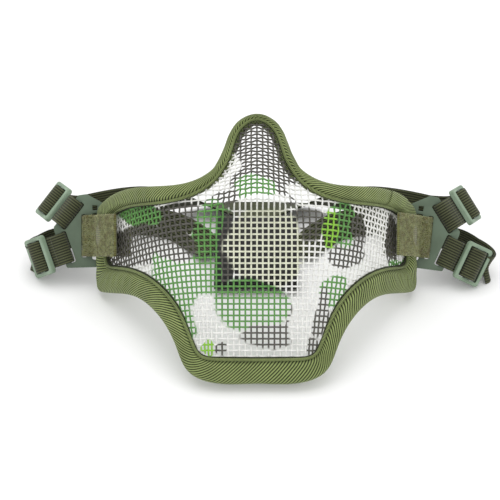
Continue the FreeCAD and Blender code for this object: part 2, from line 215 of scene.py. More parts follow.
def put(m, p):
    """Points of a frame, in the frame that holds it."""
    return np.asarray(p, float) @ m[:3, :3].T + m[:3, 3]


def plate_frame(side):
    _, tab_v, drop, tilt = SIDES[side]
    turn = math.radians(tilt)
    out = np.array([math.cos(PLATE_SPLAY), 0, -math.sin(PLATE_SPLAY)])
    up = np.array([0.0, 1, 0])
    return axes([PLATE_AT[0], tab_v - drop, PLATE_AT[1]], out * math.cos(turn) - up * math.sin(turn),
                out * math.sin(turn) + up * math.cos(turn))


def strap_frame(name):
    level, side = name.split("_")
    p, q, out_p, out_q = UPPER_BAR if level == "upper" else LOWER_BAR
    swing = math.radians(STRAPS[name][0])
    along = [out_p * math.cos(swing), out_q * math.cos(swing), -math.sin(swing)]
    return plate_frame(side) @ axes([p, q, 0], along, [-out_q, out_p, 0])


def slider_frame(name):
    _, reach, tilt, _ = STRAPS[name]
    a = math.radians(tilt)
    spin = axes([reach, 0, SLIDER_LIFT], [math.cos(a), 0, -math.sin(a)], [0, 1, 0])
    return strap_frame(name) @ spin


# The leaned frame sits at the record's origin after this shift, read from a plate's hinge.
HINGE = next(j for j in frame["joints"] if j["name"] == "plate_right_swing")
SHIFT = 1000 * np.array(HINGE["pos_m"]) - lean(put(plate_frame("right"), [FRONT_BAR_P, 0, 0]))
FLOOR = FLOOR_RISE - SHIFT[2]      # in the leaned frame


def world(p):
    """Mask frame, in millimetres, to the record's frame, in metres."""
    return (lean(p) + SHIFT) / 1000


def cubic(p0, p1, m0, m1, f, h):
    """Between two knots: f is the share of the way, h the knots' distance, m the bending."""
    g = 1 - f
    return p0 * g + p1 * f + h ** 2 / 6 * (m0 * (g ** 3 - g) + m1 * (f ** 3 - f))


def closed_spline(points):
    """Function of a knot number that runs smoothly round these points."""
    p = np.array(points, float)
    n = len(p)
    h = np.linalg.norm(np.roll(p, -1, 0) - p, axis=1)
    a = np.zeros((n, n))
    rhs = np.zeros_like(p)
    for i in range(n):
        before, after = (i - 1) % n, (i + 1) % n
        a[i, before] += h[before]
        a[i, i] += 2 * (h[before] + h[i])
        a[i, after] += h[i]
        rhs[i] = 6 * ((p[after] - p[i]) / h[i] - (p[i] - p[before]) / h[before])
    m = np.linalg.solve(a, rhs)

    def at(t):
        i = np.floor(t).astype(int) % n
        j = (i + 1) % n
        return cubic(p[i], p[j], m[i], m[j], (t - np.floor(t))[:, None], h[i][:, None])
    return at


def open_spline(points, count):
    """Natural cubic through the points at even lengths."""
    p = np.array(points, float)
    n = len(p)
    t = lengths_along(p[:, :3])
    h = np.diff(t)
    a = np.eye(n)
    rhs = np.zeros_like(p)
    for i in range(1, n - 1):
        a[i, i - 1:i + 2] = h[i - 1], 2 * (h[i - 1] + h[i]), h[i]
        rhs[i] = 6 * ((p[i + 1] - p[i]) / h[i] - (p[i] - p[i - 1]) / h[i - 1])
    m = np.linalg.solve(a, rhs)
    s = np.linspace(0, t[-1], count)
    i = np.clip(np.searchsorted(t, s) - 1, 0, n - 2)
    return cubic(p[i], p[i + 1], m[i], m[i + 1], ((s - t[i]) / h[i])[:, None], h[i][:, None])


def mirror_outline(half):
    return half + [(-a, b) for a, b in reversed(half[1:-1])]


OUTER = closed_spline(mirror_outline(OUTER_EDGE))
INNER = closed_spline(mirror_outline(INNER_EDGE))
KNOTS = 2 * len(OUTER_EDGE) - 2


def outline(t, share):
    """Points across the binding: share 0 is the outer edge and 1 the inner. The ears are cut off."""
    share = np.asarray(share)[..., None]
    p = OUTER(t) * (1 - share) + INNER(t) * share
    x = np.abs(p[..., 0])
    x = EAR_END_X - ease(EAR_END_X - x, EAR_END_SOFT)
    return np.sign(p[..., 0]) * x, p[..., 1]


# ---- meshes
def new_object(name, data):
    made = bpy.data.objects.new(name, data)
    SCENE.collection.objects.link(made)
    return made


def mesh_object(name, points, quads, uv=None, normals=None):
    """Points in metres, quads as rows of four, uv per point."""
    mesh = bpy.data.meshes.new(name)
    points, quads = np.asarray(points, np.float32), np.asarray(quads, np.int32)
    mesh.vertices.add(len(points))
    mesh.vertices.foreach_set("co", points.ravel())
    mesh.loops.add(quads.size)
    mesh.loops.foreach_set("vertex_index", quads.ravel())
    mesh.polygons.add(len(quads))
    mesh.polygons.foreach_set("loop_start", np.arange(0, quads.size, 4, dtype=np.int32))
    mesh.polygons.foreach_set("use_smooth", np.full(len(quads), True))
    mesh.update(calc_edges=True)
    if uv is not None:
        layer = mesh.uv_layers.new(name="UVMap")
        layer.data.foreach_set("uv", np.asarray(uv, np.float32)[quads.ravel()].ravel())
    if normals is not None:
        mesh.normals_split_custom_set_from_vertices(np.asarray(normals, np.float32))
    return new_object(name, mesh)


def grid_quads(rows, cols, wrap_cols, wrap_rows=False, flip=False):
    """Quads over a grid of points, closed round its columns or rows where wrapped."""
    r = np.arange(rows if wrap_rows else rows - 1)[:, None]
    c = np.arange(cols if wrap_cols else cols - 1)[None, :]
    r2, c2 = (r + 1) % rows, (c + 1) % cols
    quads = np.stack([r * cols + c, r * cols + c2, r2 * cols + c2, r2 * cols + c], -1).reshape(-1, 4)
    return quads[:, ::-1] if flip else quads


def facing_out(grid, middle, quads, column=0):
    """The quads of a grid, turned round where they would face its middle."""
    normal = np.cross(grid[1, column] - grid[0, column], grid[0, column + 1] - grid[0, column])
    return quads[:, ::-1] if np.dot(normal, middle - grid[0, column]) < 0 else quads


def tubes(runs, radius, sides):
    """One mesh of tubes: each run is (points, normals), rings perpendicular to the run."""
    points, quads, start = [], [], 0
    angle = np.arange(sides) * math.tau / sides
    for centre, normal in runs:
        tangent = unit(np.gradient(centre, axis=0))
        side = unit(np.cross(tangent, normal))
        up = np.cross(side, tangent)
        ring = (centre[:, None] + radius * (np.cos(angle)[None, :, None] * up[:, None]
                                           + np.sin(angle)[None, :, None] * side[:, None]))
        points.append(ring.reshape(-1, 3))
        quads.append(grid_quads(len(centre), sides, True) + start)
        start += len(centre) * sides
    return np.concatenate(points), np.concatenate(quads)


STRAP_RIBS, STRAP_RIB_DEPTH, RIB_SAMPLES = 12, 0.1, 6
EDGE_POWER, EDGE_SHARE = 24, 0.25      # how square a strap's edges are, and how thick at the end


def strap_section(wide, thick, ribs=STRAP_RIBS, depth=STRAP_RIB_DEPTH):
    """Cross-section of ribbed elastic: (across, through, rib number), top then bottom."""
    count = ribs * RIB_SAMPLES + 1
    y = np.linspace(-1, 1, count)
    rib = (y + 1) / 2 * ribs
    swell = depth * (0.5 - 0.5 * np.cos(math.tau * rib))
    edge = (1 - np.abs(y) ** EDGE_POWER) * (1 - EDGE_SHARE) + EDGE_SHARE
    z = (thick / 2 - depth + swell) * edge
    top = np.stack([y * wide / 2, z, rib], -1)
    return np.concatenate([top, (top * [1, -1, 1])[::-1]])


def strap(name, centre, across, front, section=None):
    """Strap through stations in metres; the cross-section's vectors are kept square."""
    centre = np.asarray(centre, float)
    tangent = unit(np.gradient(centre, axis=0))
    across = unit(across - tangent * np.sum(across * tangent, -1, keepdims=True))
    up = np.cross(tangent, across)
    up *= np.sign(np.sum(up * front, -1, keepdims=True) + 1e-9)
    section = strap_section(STRAP_WIDE, STRAP_THICK) if section is None else section
    n, m = len(centre), len(section)
    points = (centre[:, None] + (section[None, :, 0, None] * across[:, None]
                                 + section[None, :, 1, None] * up[:, None]) / 1000)
    length = lengths_along(centre) * 1000
    uv = np.stack([np.tile(section[:, 2], n), np.repeat(length, m)], -1)
    quads = grid_quads(n, m, True)
    half = m // 2
    i = np.arange(half - 1)
    cap = np.stack([i, i + 1, m - 2 - i, m - 1 - i], -1)
    quads = np.concatenate([quads, cap[:, ::-1], cap + (n - 1) * m])
    handed = np.sum(np.cross(across[0], up[0]) * tangent[0]) > 0
    return mesh_object(name, points.reshape(-1, 3), quads if handed else quads[:, ::-1], uv)


def turtle(start, heading, moves, step=0.5):
    """Centre line in the XZ plane as in the solids: (x, z, angle) rows."""
    (x, z), a = start, math.radians(heading)
    rows = [(x, z, a)]
    for move in moves:
        if isinstance(move, tuple):
            total = math.radians(move[1])
            radius = math.copysign(move[0], total)
            cx, cz = x - math.sin(a) * radius, z + math.cos(a) * radius
            count = max(4, round(total * radius / step))
            for k in range(1, count + 1):
                b = a + total * k / count
                rows.append((cx + math.sin(b) * radius, cz - math.cos(b) * radius, b))
            a += total
        else:
            count = max(1, round(move / step))
            for k in range(1, count + 1):
                rows.append((x + math.cos(a) * move * k / count, z + math.sin(a) * move * k / count, a))
        x, z = rows[-1][:2]
    return np.array(rows)


def path_stations(m, rows, sign):
    """World stations of a turtle path in a frame of the right half, mirrored for the left."""
    flip, turned = np.array([sign, 1, 1]), m[:3, :3].T
    cos, sin, zero = np.cos(rows[:, 2]), np.sin(rows[:, 2]), np.zeros(len(rows))
    centre = put(m, np.stack([rows[:, 0], zero, rows[:, 1]], -1)) * flip
    across = np.repeat(m[None, :3, 1], len(rows), 0) * flip
    normal = np.stack([-sin, zero, cos], -1) @ turned * flip
    ahead = np.stack([cos, zero, sin], -1) @ turned * flip
    return world(centre), lean(across), lean(normal), lean(ahead)


def hermite(p0, d0, p1, d1, count, pull=1.0):
    """Smooth curve between two points with end directions."""
    t = np.linspace(0, 1, count)[:, None]
    size = np.linalg.norm(p1 - p0) * pull
    return ((2 * t ** 3 - 3 * t ** 2 + 1) * p0 + (t ** 3 - 2 * t ** 2 + t) * unit(d0) * size
            + (-2 * t ** 3 + 3 * t ** 2) * p1 + (t ** 3 - t ** 2) * unit(d1) * size)


# ---- materials
class Look:
    """A node material built on one Principled shader. Lengths are in metres."""

    def __init__(self, name, rough, **constant):
        self.made = bpy.data.materials.new(name)
        self.made.use_nodes = True
        self.tree = self.made.node_tree
        self.shader = self.tree.nodes["Principled BSDF"]
        self.shader.inputs["Roughness"].default_value = rough
        for key, value in constant.items():
            self.shader.inputs[key.replace("_", " ")].default_value = value

    def node(self, kind, inputs=None, **settings):
        made = self.tree.nodes.new("ShaderNode" + kind)
        for key, value in settings.items():
            setattr(made, key, value)
        for key, value in (inputs or {}).items():
            if isinstance(value, bpy.types.NodeSocket):
                self.tree.links.new(value, made.inputs[key])
            else:
                made.inputs[key].default_value = value
        return made

    def coords(self, kind="Object"):
        return self.node("TexCoord").outputs[kind]

    def noise(self, vector, scale, detail):
        return self.node("TexNoise", {"Vector": vector, "Scale": scale, "Detail": detail,
                                      "Roughness": 0.55}).outputs["Fac"]

    def math(self, operation, a, b=0.0, c=0.0):
        return self.node("Math", {0: a, 1: b, 2: c}, operation=operation).outputs[0]

    def span(self, value, low, high, to_low=0.0, to_high=1.0):
        return self.node("MapRange", {"Value": value, "From Min": low, "From Max": high,
                                      "To Min": to_low, "To Max": to_high}).outputs["Result"]

    def mix(self, factor, a, b, blend="MIX"):
        return self.node("Mix", {0: factor, 6: a, 7: b}, data_type="RGBA", blend_type=blend).outputs[2]

    def bump(self, height, distance, strength):
        return self.node("Bump", {"Height": height, "Distance": distance,
                                  "Strength": strength}).outputs["Normal"]

    def finish(self, colour, normal=None, rough=None):
        for key, value in (("Base Color", colour), ("Normal", normal), ("Roughness", rough)):
            if value is not None:
                self.tree.links.new(value, self.shader.inputs[key])
        return self.made


def srgb(r, g, b, gain=1.0):
    """Display colour to linear RGBA, times a gain."""
    out = []
    for c in (r, g, b):
        c /= 255
        out.append(gain * (c / 12.92 if c <= 0.04045 else ((c + 0.055) / 1.055) ** 2.4))
    return (*out, 1.0)


def wave(look, turns):
    """0 in a groove and 1 on a crest, from a coordinate counted in ribs."""
    angle = look.math("MULTIPLY", turns, math.tau)
    return look.math("MULTIPLY_ADD", look.math("COSINE", angle), 0.5, 0.5)


def cloth(name, dark, light, thread_mm, fuzz, crest_on_turn=True, cross=0.3, mottle=None):
    """Ribbed cloth: UV.x counts ribs, with their crests on whole turns or between them, and UV.y is
    the length in millimetres. Cross is how much the threads across the ribs show. Dark is the
    painted shade in the grooves and between the threads, light the painted highlight on the crests."""
    look = Look(name, 0.85, Sheen_Weight=fuzz, Sheen_Roughness=0.5, Specular_IOR_Level=0.25)
    uv = look.node("SeparateXYZ", {"Vector": look.coords("UV")})
    crest = wave(look, uv.outputs["X"])
    if not crest_on_turn:
        crest = look.math("SUBTRACT", 1.0, crest)
    place = look.coords()
    thread = wave(look, look.math("MULTIPLY", uv.outputs["Y"], 1 / thread_mm))
    grain = look.noise(place, 5200, 2)
    patch = look.noise(place, 90, 4)
    # The colour runs from dark in the grooves to light on the crests: painted shade and painted highlight
    # over the ribs, with random grain on top.
    shade = look.math("MULTIPLY_ADD", crest, 1 - cross, look.math("MULTIPLY", thread, cross))
    shade = look.math("MULTIPLY_ADD", look.math("SUBTRACT", grain, 0.5), 0.7, shade)
    colour = look.mix(look.span(shade, 0.15, 0.85), dark, light)
    if mottle:
        spot = look.span(look.noise(place, 420, 3), 0.45, 0.62)
        colour = look.mix(look.math("MULTIPLY", spot, 0.75), colour, mottle)
    colour = shaded(look, colour, look.span(patch, 0.3, 0.7, 0.86, 1.12))
    height = look.math("MULTIPLY_ADD", thread, 0.6, look.math("MULTIPLY", grain, 0.6))
    return look.finish(colour, look.bump(height, 0.00012, 0.7))


def shaded(look, colour, tone):
    """A colour times a tone that varies from place to place."""
    grey = look.node("CombineColor", {0: tone, 1: tone, 2: tone}).outputs[0]
    return look.mix(1.0, colour, grey, "MULTIPLY")


def plastic(name, base, high, rough):
    """Moulded plastic: fine spark grain, faint flow marks and rubbed lighter edges."""
    look = Look(name, rough, Specular_IOR_Level=0.45)
    place = look.coords()
    patch = look.noise(place, 70, 5)
    speck = look.noise(place, 2600, 2)
    edge = look.node("NewGeometry").outputs["Pointiness"]
    worn = look.math("MULTIPLY", look.span(edge, 0.52, 0.62), look.span(patch, 0.35, 0.7))
    rubbed = (*(min(1, c * 1.7) for c in high[:3]), 1)
    colour = look.mix(look.span(patch, 0.25, 0.75), base, high)
    colour = look.mix(look.math("MULTIPLY", worn, 0.55), colour, rubbed)
    rough_at = look.span(look.math("ADD", patch, look.math("MULTIPLY", speck, 0.3)), 0.4, 0.9,
                         rough - 0.08, rough + 0.1)
    return look.finish(colour, look.bump(speck, 0.00006, 0.45), rough_at)


# Spray-painted camouflage, as blots over each other in the mask's own X and V, in millimetres:
# (x, v, half length, half height, turn, colour). Later blots lie over earlier ones.
WHITE, CREAM = srgb(240, 240, 236, 0.95), srgb(226, 228, 206, 0.95)
GREEN, LIME = srgb(98, 156, 76, 0.9), srgb(146, 204, 62, 0.92)
GREY = srgb(88, 86, 78, 0.9)
BLOT_SOFT, BLOT_WANDER = 0.06, 9
BLOTS = [
    (0, 104, 19, 20, 0, GREY), (-14.6, 93.5, 11, 4.6, 46, WHITE), (0, 87.5, 10, 6, 0, GREEN),
    (14, 87, 5, 9, 20, GREY), (23.5, 82.3, 11, 3.6, -35, WHITE), (-17, 82.5, 9, 4.5, 20, GREY),
    (-33.5, 75, 15, 7, 0, GREY), (-53.5, 76, 12, 5.5, 0, GREEN), (-51, 62.5, 18, 9, 0, GREY),
    (-62, 57, 9, 7.5, 0, GREY), (-33.5, 49.5, 17, 12, -30, GREEN), (-32, 33, 6.5, 12, 8, GREEN),
    (-20.5, 68, 9, 16, 0, GREEN), (-22, 43, 6, 5, 0, GREEN), (-20, 27, 8, 13.5, 15, WHITE),
    (-37, 62, 11, 7.5, -15, GREY), (-21.5, 17, 3.2, 3.6, 0, LIME), (-15.5, 16.6, 3, 2.8, 0, GREY),
    (-16.5, 50, 3.6, 15, 0, GREEN), (-13.6, 60, 2.6, 17, 0, GREY),
    (23, 71.5, 8.5, 8, 0, GREY), (3.4, 61, 17.5, 19, 0, CREAM), (3.8, 81.6, 13, 2.4, 0, WHITE),
    (-1.8, 35.5, 17, 12, 0, GREEN), (4.5, 21.5, 12, 6, 0, GREY), (15, 29, 2.6, 8, 0, GREY),
    (22.5, 32, 8.5, 22, -3, WHITE), (40, 54, 22, 8.5, 10, WHITE), (51.5, 77, 14, 6, 0, WHITE),
    (41, 58.5, 9, 6.5, 10, GREY), (38.5, 71.5, 8, 9, 0, GREEN), (33, 69.5, 3.4, 8, 0, LIME),
    (47.5, 69.6, 4, 7, 0, GREY), (63.5, 64, 3.6, 14, 0, GREY), (68, 51.5, 6, 4.5, 0, GREEN),
    (35, 41.5, 7, 6.5, 40, GREEN), (29.5, 31, 3, 12, -8, GREY), (25, 16, 3, 4.5, 0, GREY),
]


def camo_paint():
    """Painted wire. Its blots lie on the mask's X and V, and a slow noise makes their edges wander."""
    look = Look("camo_paint", 0.42, Specular_IOR_Level=0.5)
    place = look.coords()

    def vector(operation, *values):
        return look.node("VectorMath", dict(enumerate(values)), operation=operation).outputs[0]

    # Out of the record's frame, in metres, into the mask's frame, in millimetres.
    turned = look.node("VectorRotate", {"Vector": vector("SUBTRACT", place, tuple(SHIFT / 1000)),
                                        "Center": (0, 0, 0), "Angle": -LEAN}, rotation_type="X_AXIS")
    here = vector("MULTIPLY", turned.outputs[0], (1000, 1000, 0))
    wobble = look.node("TexNoise", {"Vector": place, "Scale": 70, "Detail": 2.0}).outputs["Color"]
    wobble = vector("SUBTRACT", wobble, (0.5, 0.5, 0.5))
    here = vector("MULTIPLY_ADD", wobble, (BLOT_WANDER, BLOT_WANDER, 0), here)
    colour = WHITE
    for x, v, half_long, half_high, turn, paint in BLOTS:
        local = look.node("Mapping", {"Vector": here, "Location": (x, v, 0),
                                      "Rotation": (0, 0, math.radians(turn)),
                                      "Scale": (half_long, half_high, 1000)}, vector_type="TEXTURE")
        far = look.node("VectorMath", {0: local.outputs[0]}, operation="LENGTH").outputs["Value"]
        colour = look.mix(look.span(far, 1 - BLOT_SOFT, 1 + BLOT_SOFT, 1.0, 0.0), colour, paint)
    speck = look.noise(place, 1500, 3)
    patch = look.noise(place, 240, 3)
    colour = shaded(look, colour, look.span(patch, 0.3, 0.7, 0.9, 1.06))
    chip = look.span(speck, 0.7, 0.74)
    colour = look.mix(look.math("MULTIPLY", chip, 0.5), colour, srgb(70, 72, 66))
    return look.finish(colour, look.bump(speck, 0.00008, 0.5), look.span(patch, 0.3, 0.7, 0.34, 0.52))


# Each cloth's first colour is the painted shade of its rib grooves and its second the painted highlight of
# its crests.
LOOKS = {
    "camo_wire": camo_paint(),
    "binding_tape": cloth("binding_tape", srgb(18, 24, 6, 0.9), srgb(152, 167, 104, 0.95), 0.5, 0.12,
                          cross=0.18),
    "elastic": cloth("elastic", srgb(32, 35, 22, 0.9), srgb(82, 86, 58, 0.95), 0.9, 0.15, False,
                     cross=0.1),
    "keeper_cloth": cloth("keeper_cloth", srgb(8, 8, 8), srgb(34, 34, 34), 0.8, 0.15, False),
    # foam: dark olive, partly the foam's own colour and partly painted shade of the gap under the hem.
    "foam": cloth("foam", srgb(24, 27, 15), srgb(58, 64, 38), 0.7, 0.1),
    "loop_cloth": cloth("loop_cloth", srgb(62, 68, 32, 0.9), srgb(132, 136, 84, 0.95), 0.7, 0.3,
                        mottle=srgb(92, 82, 40, 0.9)),
    "plate_plastic": plastic("plate_plastic", srgb(82, 98, 78, 0.9), srgb(104, 122, 102, 0.9), 0.42),
    "slider_plastic": plastic("slider_plastic", srgb(116, 136, 112, 0.95), srgb(144, 164, 142, 0.95),
                              0.38),
}


def fibre_look():
    """Loops of the tabs' pile, olive with brown patches."""
    look = Look("pile_fibre", 0.7, Sheen_Weight=0.4)
    tone = look.noise(look.coords(), 700, 3)
    brown = look.span(look.noise(look.coords(), 330, 3), 0.48, 0.62)
    colour = look.mix(look.span(tone, 0.3, 0.7), srgb(104, 112, 62), srgb(190, 192, 136))
    return look.finish(look.mix(look.math("MULTIPLY", brown, 0.6), colour, srgb(104, 88, 48)))


FIBRE = fibre_look()


def dress(obj, body, slot, look=None, replaces=(), blend=None):
    """Gives a piece its material, looked up by slot, and lets it ride a body or blend between two."""
    obj.data.materials.clear()
    obj.data.materials.append(look or LOOKS[slot])
    if blend:
        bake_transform(obj, blend[0], blend[1], start=blend[2], end=blend[3])
    else:
        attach(obj, body)
    if replaces:
        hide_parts(*replaces)
    return obj


# ---- woven wire mesh
PITCH, WIRE_RADIUS, WIRE_SIDES = 2.6, 0.4, 8
UPRIGHT_CRIMP, ACROSS_CRIMP = 0.26, 0.4     # the upright wires are nearly straight
WIRE_EDGE = 0.3                    # how far under the binding the wires end
UPRIGHT_STEP, ACROSS_STEP, FINE_STEP = 0.62, 0.55, 0.05
COLUMNS_EACH_WAY, ROWS_BEYOND, GAP_BEYOND = 40, 16, 1.84     # beyond: past the row table's end
SETTLE_ROUNDS, SHORTEST_WIRE = 12, 4
LEVEL_V = 60.0                     # where the columns are counted and stand upright


def in_outline(x, v):
    """Whether each point lies within the line where the wires end."""
    t = np.linspace(0, KNOTS, 900, endpoint=False)
    px, pv = outline(t, np.full(len(t), WIRE_EDGE))
    qx, qv = np.roll(px, -1), np.roll(pv, -1)
    crosses = (pv[None] > v[:, None]) != (qv[None] > v[:, None])
    at = px + (v[:, None] - pv) * (qx - px) / np.where(qv == pv, 1e-9, qv - pv)
    return (np.sum(crosses & (x[:, None] < at), axis=1) % 2) == 1


ROW_DROOP, COLUMN_SPLAY = 0.22, 0.28   # the rows sink and the columns lean where the sheet goes back
NOSE_DRAW, DRAW_START, DRAW_REACH = 0.5, 20.0, 18.0    # how far the nose draws the columns inward
DRAW_BLUR, BLUR_SPAN = 6.0, 18
TABLE_STEP = 0.5
TABLE_X, TABLE_V = np.arange(0, 95.1, TABLE_STEP), np.arange(-12, 136.1, 1.0)


def column_table():
    """Length across the sheet from its middle, at each X and V."""
    x, v = np.meshgrid(TABLE_X, TABLE_V, indexing="ij")
    base = np.hypot(1, slope_across(base_height, x, v))
    drawn = np.hypot(1, NOSE_DRAW * slope_across(face_height, x, v))
    extra = np.maximum(drawn - base, 0) * TABLE_STEP
    base = base * TABLE_STEP
    base, extra = np.cumsum(base, 0) - base[:1], np.cumsum(extra, 0)
    spread = np.exp(-0.5 * (np.arange(-BLUR_SPAN, BLUR_SPAN + 1) / DRAW_BLUR) ** 2)
    spread /= spread.sum()
    padded = np.pad(extra, ((0, 0), (BLUR_SPAN, BLUR_SPAN)), mode="edge")
    extra = np.stack([np.convolve(row, spread, "valid") for row in padded])
    fade = np.exp(-(np.maximum(TABLE_X - DRAW_START, 0) / DRAW_REACH) ** 2)[:, None]
    return base + extra * fade


COLUMNS = column_table()


def column_number(x, v):
    """Which column runs through a point, as a signed real number."""
    fx = np.clip(np.abs(x) / TABLE_STEP, 0, len(TABLE_X) - 1.001)
    fv = np.clip(v - TABLE_V[0], 0, len(TABLE_V) - 1.001)
    i, j = fx.astype(int), fv.astype(int)
    fx, fv = fx - i, fv - j
    low = COLUMNS[i, j] * (1 - fv) + COLUMNS[i, j + 1] * fv
    high = COLUMNS[i + 1, j] * (1 - fv) + COLUMNS[i + 1, j + 1] * fv
    return np.sign(x) * (low * (1 - fx) + high * fx) / PITCH


def splay(x, v):
    """How far a column leans sideways at a point."""
    slope = slope_across(base_height, np.abs(x), LEVEL_V)
    return -np.sign(x) * COLUMN_SPLAY * slope / (1 + slope ** 2) * (v - LEVEL_V)


def row_table():
    """V along the middle in fine steps, and the row number at each: rows keep their pitch."""
    vs = np.arange(-8, 132, FINE_STEP)
    slope = np.gradient(base_height(0 * vs, vs), vs)
    return vs, np.cumsum(np.hypot(1, slope)) * FINE_STEP / PITCH


def upright_wires(vs, row_at):
    """Lines (x, v, offset) of the wires that run from chin to nose."""
    lines = []
    fine_v = np.arange(-6, 128, UPRIGHT_STEP)
    for k in range(-COLUMNS_EACH_WAY, COLUMNS_EACH_WAY + 1):
        at_table = np.array([np.interp(abs(k) * PITCH, column, TABLE_X, right=99)
                             for column in COLUMNS.T])
        x = np.sign(k) * np.interp(fine_v, TABLE_V, at_table)
        x = x + splay(x, fine_v)
        row = np.interp(fine_v - ROW_DROOP * face_height(x, fine_v), vs, row_at)
        lines.append((x, fine_v, UPRIGHT_CRIMP * np.cos(math.pi * (row + k))))
    return lines


def across_wires(vs, row_at):
    """Lines of the wires that run from ear to ear."""
    lines = []
    half = np.arange(0, 90, FINE_STEP)
    arc = np.cumsum(np.hypot(1, np.gradient(base_height(half, LEVEL_V), half))) * FINE_STEP
    fine_x = np.interp(np.arange(0, arc[-1], ACROSS_STEP), arc, half)
    fine_x = np.concatenate([-fine_x[:0:-1], fine_x])
    for j in range(int(row_at[0]) + 1, int(row_at[-1]) + ROWS_BEYOND):
        beyond = (j - row_at[-1]) * GAP_BEYOND
        v0 = np.interp(j, row_at, vs) if beyond < 0 else vs[-1] + beyond
        v = np.full_like(fine_x, v0)
        for _ in range(SETTLE_ROUNDS):
            v = 0.5 * v + 0.5 * (v0 + ROW_DROOP * face_height(fine_x, v))
        flat_x = fine_x - splay(fine_x, v)
        lines.append((fine_x, v, -ACROSS_CRIMP * np.cos(math.pi * (column_number(flat_x, v) + j))))
    return lines


def wires(name, lines):
    """One set of wires, cut off where they end under the binding."""
    runs = []
    for x, v, offset in lines:
        inside = in_outline(x, v)
        edges = np.flatnonzero(np.diff(np.concatenate([[0], inside.astype(int), [0]])))
        for a, b in zip(edges[::2], edges[1::2]):
            if b - a > SHORTEST_WIRE:
                runs.append(face_point(x[a:b], v[a:b], offset[a:b]))
    points, quads = tubes(runs, WIRE_RADIUS, WIRE_SIDES)
    return mesh_object(name, world(points), quads)


# ---- padded binding
STATIONS, ROUND, FRONT_COLUMNS = 1500, 104, 58
RIB_PERIOD, RIB_DEPTH = 1.2, 0.2
RIB_AROUND, RIB_ALONG = 0.70, 0.72         # how the ribs slant over the tape
PUCKER_PERIOD, PUCKER_DEPTH, PUCKER_DRIFT = 7.3, 0.15, (19.0, 3)
SECTION_WIDTH, SECTION_POWER = 13.0, 2 / 2.7
PINCH_START, PINCH_REACH, PINCH_DEPTH = 0.68, 0.27, 0.66    # the tape thins towards the mesh
SKIN_INSET = 0.05
SLOPE_STEP = 2.0                   # the binding and tape follow the sheet's slopes only roughly


def sheet_line(t, share):
    """Points on the middle of the sheet at knot numbers, at one share across the binding."""
    x, v = outline(t, np.full(len(t), share))
    return face_point(x, v, np.zeros(len(t)), SLOPE_STEP)[0]


def knot_at_even_lengths(count):
    """Knot numbers at even lengths round the binding, and its whole length."""
    dense = np.linspace(0, KNOTS, 6000)
    length = lengths_along(sheet_line(dense, 0.35))
    return np.interp(np.linspace(0, length[-1], count, endpoint=False), length, dense), length[-1]


def binding_grid(extra=0.0, turn=(0.0, 1.0), stations=None, columns=ROUND):
    """Points (station, column) of the binding's skin, from the inner edge over the front, round
    the outer edge and back to the inner edge behind."""
    t, total = knot_at_even_lengths(STATIONS) if stations is None else stations
    phi = math.tau * np.linspace(*turn, columns)
    share = 0.5 + 0.5 * signed_power(np.cos(phi), SECTION_POWER)
    puff = signed_power(np.sin(phi), SECTION_POWER)
    near = np.clip((share - PINCH_START) / PINCH_REACH, 0, 1)
    pinch = 1 - PINCH_DEPTH * near ** 2 * (3 - 2 * near)
    tt, ss = np.meshgrid(t, share, indexing="ij")
    x, v = outline(tt.ravel(), ss.ravel())
    along = np.linspace(0, total, len(t), endpoint=False)[:, None]
    steps = np.hypot(np.diff(share * SECTION_WIDTH), np.diff(puff * BINDING_HALF))
    around = np.concatenate([[0], np.cumsum(steps)])
    turns = (around[None] * RIB_AROUND - along * RIB_ALONG) / RIB_PERIOD
    drift_length, drift = PUCKER_DRIFT
    ripple = np.sin(along * math.tau / PUCKER_PERIOD + np.sin(along / drift_length) * drift) - 1
    pucker = PUCKER_DEPTH * ripple * np.sin(math.pi * share)[None] ** 2
    rib = RIB_DEPTH * np.abs(np.sin(math.pi * turns)) ** 0.7 - RIB_DEPTH
    offset = (puff * pinch * (BINDING_HALF - SKIN_INSET))[None] * np.ones_like(along)
    out = signed_power(puff, 0.3)[None] * (rib + pucker + extra)
    points, _ = face_point(x, v, (offset + out).ravel(), SLOPE_STEP)
    return world(points).reshape(len(t), columns, 3), turns, np.repeat(around[None], len(t), 0)


def grid_normals(p):
    """Normals of a grid that is closed round its rows."""
    du = np.roll(p, -1, 0) - np.roll(p, 1, 0)
    dv = np.gradient(p, axis=1)
    return unit(np.cross(dv, du))


def binding():
    """The padded tape as a front and a back skin."""
    p, turns, around = binding_grid()
    p[:, -1] = p[:, 0]
    normals = grid_normals(p)
    flip = bool(np.sum((p - p.mean(1, keepdims=True)) * normals) < 0)
    if flip:
        normals = -normals
    made = []
    for name, a, b in (("binding_front", 0, FRONT_COLUMNS + 1), ("binding_back", FRONT_COLUMNS, ROUND)):
        quads = grid_quads(STATIONS, b - a, False, True, flip=flip)
        uv = np.stack([turns[:, a:b].ravel() + 0.5, around[:, a:b].ravel()], -1)
        made.append(mesh_object(name, p[:, a:b].reshape(-1, 3), quads, uv,
                                normals=normals[:, a:b].reshape(-1, 3)))
    return made


ROLL_SHARE, ROLL_RISE, ROLL_RADIUS = 0.93, 1.75, 0.72
# The lining is a dark band at the hem's edge, partly the foam and partly painted shade of the gap under the
# hem.
LINING_SHARES, LINING_RISE, LINING_HALF = (0.8, 1.03), 1.0, 0.36


